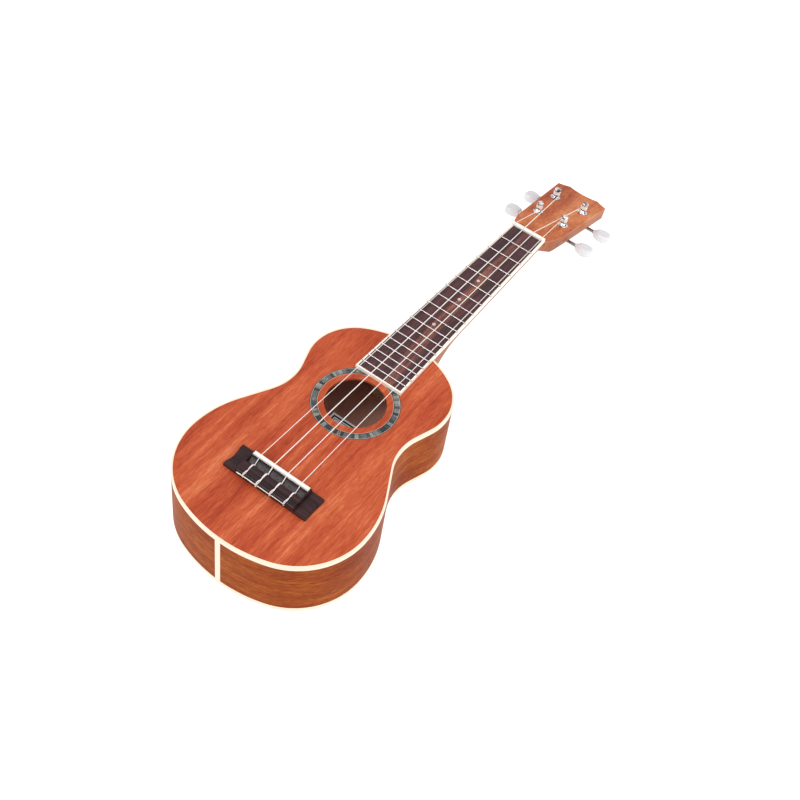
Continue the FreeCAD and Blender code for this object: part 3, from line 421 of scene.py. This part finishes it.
# ================================================================ the neck
# One length of plain brown mahogany with its grain along the neck. The heel and the headstock are carved
# from the same piece, and the heel is doweled to the neck block.
neck_colours = (
    (0.32, (0.20, 0.052, 0.020)),
    (0.46, (0.36, 0.105, 0.038)),
    (0.57, (0.46, 0.155, 0.058)),
    (0.70, (0.55, 0.22, 0.09)),
)
along_the_neck = (1.0, 0.05, 1.0)
mahogany("neck_mahogany", along_the_neck, neck_colours).on("neck")

# ================================================================ the fretboard
# A tapered board of oiled rosewood, dark red-brown with open pores, and with one lighter streak that
# follows the middle and drifts to the treble side towards the body.
streak_at_nut = 0.0002
streak_drift = 0.0080
streak_wander = 0.006
streak_outside = 0.0066
streak_inside = 0.0020

rosewood = Finish("fretboard_rosewood")
board_low, board_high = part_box("fretboard")
board_x, board_y, _ = rosewood.place.axes()
wide = rosewood.place.noise((150, 9, 150), (0.4, 0.0, 0.0), rough=0.55, warp=0.8)
fine = rosewood.place.noise((1100, 34, 1100), (0.0, 5.0, 0.0), detail=5.0, rough=0.6)
open_pores = rosewood.place.noise((3200, 260, 3200), (0.0, 0.0, 6.0), detail=1.0).fade(0.42, 0.34)
down_board = (board_high.y - board_y) / (board_high.y - board_low.y)
streak_middle = streak_at_nut + streak_drift * down_board * down_board
from_streak = abs(board_x - streak_middle + streak_wander * (wide - 0.5))
streak = from_streak.fade(streak_outside, streak_inside)
rosy = (wide * 0.44 + fine * 0.38 + 0.05 + (0.12 + 0.12 * down_board) * streak).colours(
    (0.34, (0.030, 0.009, 0.012)),
    (0.47, (0.066, 0.019, 0.023)),
    (0.57, (0.120, 0.034, 0.032)),
    (0.72, (0.33, 0.120, 0.075)),
)
rosewood.vary(Base_Color=(open_pores * 0.7).blend(rosy, (0.012, 0.006, 0.005, 1.0)))
rosewood.vary(Roughness=0.38 + 0.2 * open_pores + 0.1 * fine)
rosewood.emboss(1.0 - open_pores, depth=0.00008)
rosewood.on("fretboard")

# ================================================================ the frets
# Seventeen crowned bars of nickel silver with their tangs pressed into sawn slots. Their colour is
# bright on the crowns' tops and dark on the flanks: a painted highlight above and painted shade below.
fret_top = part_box("frets")[1].z
# Painted light: the heights below the top where the colour turns from the dark flank to the bright crown.
shaded_below_top = 0.00028
lit_below_top = 0.00010

nickel = Finish("fret_nickel", Metallic=1.0)
rubbed = nickel.place.noise((90, 900, 900), (0.0, 0.0, 2.0), detail=4.0)
# Painted highlight on the crown, painted shade on the flanks.
lit_crown_mask = nickel.place.axes()[2].fade(fret_top - shaded_below_top, fret_top - lit_below_top)
crown_highlight = rubbed.blend((0.62, 0.57, 0.56, 1.0), (0.76, 0.71, 0.70, 1.0))
nickel.vary(Base_Color=lit_crown_mask.blend((0.13, 0.11, 0.11, 1.0), crown_highlight))
nickel.vary(Roughness=0.22 + 0.2 * rubbed)
nickel.on("frets")

# ================================================================ the position dots
# Three round dots of white shell in the spaces before the fifth, seventh and tenth frets, on the middle
# line. Each is glued into a drilled seat and sanded flush with the board.
pearl = Finish("pearl_dots", Roughness=0.2, Coat_Weight=0.5)
milky = pearl.place.noise((700, 700, 700), (0.0, 0.0, 1.0), warp=1.5)
milky_white = milky.colours(
    (0.3, (0.46, 0.40, 0.40)),
    (0.5, (0.66, 0.58, 0.56)),
    (0.7, (0.56, 0.48, 0.52)),
)
pearl.vary(Base_Color=milky_white)
pearl.on("position_dots")

# ================================================================ the nut and the saddle
# Two slips of white bone: the nut glued at the board's end and slotted for the strings, the saddle loose
# in the bridge's slot with a rounded, polished top.
bone = Finish("bone", Roughness=0.28, Coat_Weight=0.3, Coat_Roughness=0.1, Subsurface_Weight=0.1)
bone.shader.inputs["Subsurface Scale"].default_value = 0.002
flow = bone.place.noise((120, 900, 900), (0.0, 3.0, 0.0), detail=4.0)
bone.vary(Base_Color=flow.blend((0.90, 0.85, 0.77, 1.0), (0.97, 0.93, 0.87, 1.0)))
bone.on("nut", "saddle")

# ================================================================ the bridge
# Dark rosewood with its grain across the body: a low plate with coved ends, a saddle ridge, a trough and
# a tie block drilled for the strings. It is glued to the top, sanded and oiled.
bridge_wood = Finish("bridge_rosewood", Specular_IOR_Level=0.24, Coat_Weight=0.12, Coat_Roughness=0.2)
broad = bridge_wood.place.noise((10, 210, 210), (0.0, 2.0, 0.0), warp=0.6)
thin = bridge_wood.place.noise((60, 1500, 1500), (3.0, 0.0, 0.0), detail=4.0, rough=0.6)
bridge_pores = bridge_wood.place.noise((420, 3600, 3600), (0.0, 0.0, 2.0), detail=1.0).fade(0.40, 0.32)
bark = (broad * 0.6 + thin * 0.4).colours(
    (0.36, (0.010, 0.003, 0.004)),
    (0.50, (0.026, 0.009, 0.011)),
    (0.64, (0.066, 0.024, 0.024)),
)
bridge_wood.vary(Base_Color=(bridge_pores * 0.7).blend(bark, (0.004, 0.003, 0.003, 1.0)))
bridge_wood.vary(Roughness=0.3 + 0.2 * bridge_pores + 0.12 * thin)
bridge_wood.emboss(1.0 - bridge_pores, depth=0.00007)
bridge_wood.on("bridge")

# ================================================================ the tuning machines
# Nickel-plated posts, bushings, plates and screws, bare steel worms and shafts, and a machined brass
# wheel on each post's foot. The plating has faint smudges in its roughness and fine rubbed lines, and
# large dark patches painted into its colour as painted reflections of dark surroundings.
string_names = "gcea"

plated = Finish("nickel_plate", Metallic=1.0)
smudges_and_painted_reflections = plated.place.noise((260, 260, 260), (1.0, 0.0, 0.0), detail=4.0, rough=0.6)
lines = plated.place.noise((3000, 3000, 400), (0.0, 1.0, 0.0), detail=2.0)
# Painted reflections: the noise's low parts turn the plating's colour nearly black; the same noise varies
# its roughness.
plated.vary(Base_Color=smudges_and_painted_reflections.fade(0.40, 0.56).blend((0.16, 0.15, 0.17, 1.0), (0.93, 0.93, 0.93, 1.0)))
plated.vary(Roughness=0.12 + 0.16 * smudges_and_painted_reflections + 0.06 * lines)
plated.on("tuner_plates", "tuner_bushings", "tuner_screws")


def machined_metal(name, mottle, shift, low, high):
    """Unplated metal, duller in places, with so many waves of mottle a metre."""
    metal = Finish(name, Metallic=1.0)
    dull = metal.place.noise((mottle, mottle, mottle), shift)
    metal.vary(Base_Color=dull.blend((*low, 1.0), (*high, 1.0)), Roughness=0.25 + 0.2 * dull)
    return metal


brass = machined_metal("gear_brass", 900, (0.0, 2.0, 0.0), (0.52, 0.36, 0.13), (0.78, 0.60, 0.28))
steel = machined_metal("worm_steel", 700, (3.0, 0.0, 0.0), (0.20, 0.19, 0.20), (0.44, 0.42, 0.43))
for string in string_names:
    plated.on("post_" + string, "gear_screw_" + string)
    steel.on("worm_" + string)
    brass.on("gear_" + string)

# ================================================================ the buttons
# Four buttons moulded in white plastic with a pearly cloud in it. Each is pushed onto the flats of its
# worm's shaft and turns with it.
pearly = Finish("pearl_plastic", Roughness=0.24, Coat_Weight=0.4, Coat_Roughness=0.06)
pearly.shader.inputs["Subsurface Weight"].default_value = 0.12
pearly.shader.inputs["Subsurface Scale"].default_value = 0.003
swirl = pearly.place.noise((90, 90, 90), (0.0, 0.0, 5.0), detail=2.0, warp=1.5)
pearly.vary(Base_Color=swirl.blend((0.66, 0.66, 0.70, 1.0), (0.78, 0.77, 0.80, 1.0)))
for string in string_names:
    pearly.on("button_" + string)

# ================================================================ the strings
# Clear white nylon. Each one runs from its post over the nut and the saddle, through its hole in the tie
# block, back over the block, round itself in a knot, and ends in a tail that the next string clamps.
nylon = Finish("string_nylon", Roughness=0.3, Coat_Weight=0.2, Subsurface_Weight=0.2)
nylon.shader.inputs["Subsurface Scale"].default_value = 0.001
glaze = nylon.place.noise((900, 90, 900), (0.0, 0.0, 3.0))
nylon.vary(Base_Color=glaze.blend((0.86, 0.78, 0.72, 1.0), (0.97, 0.92, 0.88, 1.0)))

mm = 0.001
string_radii = (0.30 * mm, 0.43 * mm, 0.37 * mm, 0.30 * mm)
post_sides = (-1, -1, 1, 1)
nut_spread = 28.4 * mm
saddle_spread = 39.2 * mm
slot_above_frets = 0.35 * mm
rest_gap = 0.03 * mm
tie_depth = 11.2 * mm
tie_hole_height = 3.2 * mm
tail_length = 18.5 * mm
last_tail_length = 6.2 * mm
post_waist_radius = 2.4 * mm
post_hole_radius = 0.75 * mm
post_hole_below_top = 3.0 * mm
wrap_turn = math.radians(150.0)
wrap_gap = 0.08 * mm
coil_turns = 3
coil_gap = 0.01 * mm
coil_below_hole = 0.1 * mm
into_hole = 1.2 * mm
free_end = 5.0 * mm
free_end_rise = 0.8 * mm
bend_reach = 1.6 * mm
bend_steps = 7
wrap_steps = 16
coil_steps = 72
tube_sides = 10
nut_low, nut_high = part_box("nut")
saddle_low, saddle_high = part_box("saddle")
bridge_low, bridge_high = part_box("bridge")
slot_z = fret_top + slot_above_frets
joints = {joint["name"]: joint for joint in frame["record"]["behaviour"]["joints"]}


def laid(points, reach):
    """Straight runs whose corners are rounded: each corner P gives way to the parabola
    (1-t)^2 A + 2t(1-t) P + t^2 B, where A and B lie on its two runs, no further from P than
    the reach or half a run."""
    points = np.asarray(points, float)
    runs = np.diff(points, axis=0)
    lengths = np.linalg.norm(runs, axis=1, keepdims=True)
    along = runs / lengths
    back = np.minimum(reach, 0.5 * np.minimum(lengths[:-1], lengths[1:]))
    corner = points[1:-1]
    before, after = corner - along[:-1] * back, corner + along[1:] * back
    t = np.linspace(0.0, 1.0, bend_steps)[None, :, None]
    before, middle, after = before[:, None], corner[:, None], after[:, None]
    arcs = (1 - t) ** 2 * before + 2 * t * (1 - t) * middle + t ** 2 * after
    path = np.concatenate([points[:1], arcs.reshape(-1, 3), points[-1:]])
    same_point = 1e-7
    apart = np.linalg.norm(np.diff(path, axis=0), axis=1) > same_point
    return path[np.concatenate([[True], apart])]


def tube(name, path, radius):
    """A round skin along a path: at each point a circle of the radius stands square to the path, on the
    two directions got by crossing the path's direction with one fixed slanted vector. Both ends are
    domed by two smaller circles beyond them."""
    dome_widths = [0.3, 0.8]
    dome_reaches = [[1.0], [0.7]]
    slanted = (0.50, 0.62, 0.60)
    ahead = np.gradient(path, axis=0)
    ahead /= np.linalg.norm(ahead, axis=1, keepdims=True)
    dome = np.array(dome_reaches) * radius
    first_dome = path[:1] - ahead[:1] * dome
    last_dome = path[-1:] + ahead[-1:] * dome[::-1]
    path = np.concatenate([first_dome, path, last_dome])
    ahead = np.concatenate([ahead[[0, 0]], ahead, ahead[[-1, -1]]])
    widths = np.concatenate([dome_widths, np.ones(len(path) - 4), dome_widths[::-1]]) * radius
    side = np.cross(ahead, slanted)
    side /= np.linalg.norm(side, axis=1, keepdims=True)
    up = np.cross(ahead, side)
    turn = np.linspace(0.0, 2 * np.pi, tube_sides, endpoint=False)[None, :, None]
    circles = side[:, None] * np.cos(turn) + up[:, None] * np.sin(turn)
    rings = path[:, None] + circles * widths[:, None, None]
    index = np.arange(len(path) * tube_sides).reshape(-1, tube_sides)
    beside = np.roll(index, -1, axis=1)
    skin = np.stack([index[:-1], beside[:-1], beside[1:], index[1:]], axis=-1).reshape(-1, 4)
    caps = [index[0, ::-1].tolist(), index[-1].tolist()]
    mesh = bpy.data.meshes.new(name)
    mesh.from_pydata(rings.reshape(-1, 3).tolist(), [], skin.tolist() + caps)
    mesh.shade_smooth()
    piece = bpy.data.objects.new(name, mesh)
    piece.data.materials.append(nylon.material)
    bpy.context.collection.objects.link(piece)
    return piece


def post_frame(name):
    """The middle of the post's string hole, and the directions across the headstock, along it and out of
    its face."""
    joint = joints["post_" + name + "_turn"]
    out = np.array(joint["axis"], float)
    across = np.array((1.0, 0.0, 0.0))
    along = np.cross(out, across)
    corners = np.array([vertex.co for vertex in frame["nodes"]["post_" + name].data.vertices])
    foot = np.array(joint["pos_m"], float)
    top = ((corners - foot) @ out).max()
    return foot + out * (top - post_hole_below_top), across, along, out


def on_circle(centre, across, along, radius, angles):
    """Points of a circle: the centre, plus the radius times cos of each angle across and sin along."""
    return centre + radius * (np.cos(angles)[:, None] * across + np.sin(angles)[:, None] * along)


def knot_route(x, r, tail):
    """From the trough in front of the tie block, through its hole, back over it, round the string and
    out to the tail's end: a list of points given one by one."""
    rear, front, top = bridge_low.y, bridge_low.y + tie_depth, bridge_high.z
    hole = bridge_low.z + tie_hole_height
    lift = top + r
    over_holes = hole + 1.3 * mm
    return np.array([
        (x, front + 0.9 * mm, hole),
        (x, rear - 2.2 * r, hole),
        (x, rear - 4.2 * r, hole + 1.2 * mm),
        (x, rear - 4.2 * r, top - 0.6 * mm),
        (x, rear - 1.2 * r, top + 4.0 * r),
        (x + 0.1 * mm, rear + 2.0 * mm, top + 3.4 * r),
        (x + 0.3 * mm, rear + 4.2 * mm, lift + 0.1 * mm),
        (x + 0.3 * mm, front - 1.4 * mm, lift),
        (x + 0.3 * mm, front + 0.2 * mm, lift - 0.3 * mm),
        (x + 0.7 * mm, front + 1.4 * mm, top - 1.4 * mm),
        (x + 0.7 * mm, front + 1.9 * mm, hole + 0.9 * mm),
        (x, front + 2.1 * mm, hole + 0.9 * mm - 2.0 * r),
        (x - 0.7 * mm, front + 1.9 * mm, hole + 1.2 * mm),
        (x - 0.6 * mm, front + 1.0 * mm, top - 1.2 * mm),
        (x - 0.3 * mm, front - 0.6 * mm, lift),
        (x - 0.3 * mm, front - 2.6 * mm, lift),
        (x + 0.1 * mm, front - 4.6 * mm, lift + 2.2 * r),
        (x + 0.6 * mm, rear + 4.4 * mm, lift + 0.6 * r),
        (x + 0.7 * mm, rear + 1.8 * mm, lift),
        (x + 0.5 * mm, rear - 0.8 * r, top + 0.5 * r),
        (x + 0.2 * mm, rear - 1.2 * r, top - 1.5 * mm),
        (x - 0.8 * mm, rear - 1.2 * r, over_holes),
        (x - 0.5 * tail, rear - 1.1 * r, over_holes + 0.1 * mm),
        (x - 0.8 * tail, rear - 1.3 * r, over_holes),
        (x - tail, rear - 1.6 * r, over_holes - 0.2 * mm),
    ])


string_places = np.linspace(-0.5, 0.5, len(string_names))
for name, place, r, side in zip(string_names, string_places, string_radii, post_sides):
    # The string starts part of a turn round its post, level with the coil's lowest turn.
    hole_centre, across, along, out = post_frame(name)
    pitch = 2 * r + rest_gap
    wrap_drop = post_hole_radius + r + coil_below_hole + coil_turns * pitch
    wrap_radius = post_waist_radius + r + wrap_gap
    slot = np.array((place * nut_spread, 0.0, slot_z + r + rest_gap))
    nut_back = slot + (0.0, nut_high.y, 0.0)
    leave = nut_back - hole_centre
    dx, dy = leave @ across, leave @ along
    contact = math.atan2(dy, dx) - side * math.acos(wrap_radius / math.hypot(dx, dy))
    wrapped = contact - side * wrap_turn * np.linspace(1.0, 0.0, wrap_steps)
    saddle_x = place * saddle_spread
    crest = (saddle_x, (saddle_low.y + saddle_high.y) / 2, saddle_high.z + r + rest_gap)
    tail = last_tail_length if name == "g" else tail_length
    route = np.concatenate([
        on_circle(hole_centre - out * wrap_drop, across, along, wrap_radius, wrapped),
        [nut_back, slot + (0.0, nut_low.y, 0.0), crest],
        knot_route(saddle_x, r, tail),
    ])
    line = tube("nylon_string_" + name, laid(route, bend_reach), r)
    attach(line, "instrument")
    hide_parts("string_" + name)

    # The coil goes on from there, rises to the hole, crosses it and ends a little way out of it.
    start = contact - side * wrap_turn
    part_turn = (side * (start - math.pi / 2)) % (2 * math.pi)
    whole_turns = coil_turns - 1 if part_turn > math.pi else coil_turns
    total = part_turn + 2 * math.pi * whole_turns
    share = np.linspace(0.0, 1.0, coil_steps)
    coil_radius = post_waist_radius + r + coil_gap
    rising = on_circle(hole_centre, across, along, coil_radius, start - side * total * share)
    rising -= out * ((1 - share) * (wrap_drop - pitch))[:, None]
    reaches = (into_hole, -post_waist_radius, -0.5 * (post_waist_radius + free_end))
    ends = [hole_centre + along * reach for reach in reaches]
    tip = hole_centre - along * free_end + out * free_end_rise
    winding_route = np.concatenate([rising[:-2], ends, [tip]])
    coil = tube("nylon_winding_" + name, laid(winding_route, bend_reach), r)
    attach(coil, "post_" + name)
    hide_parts("winding_" + name)
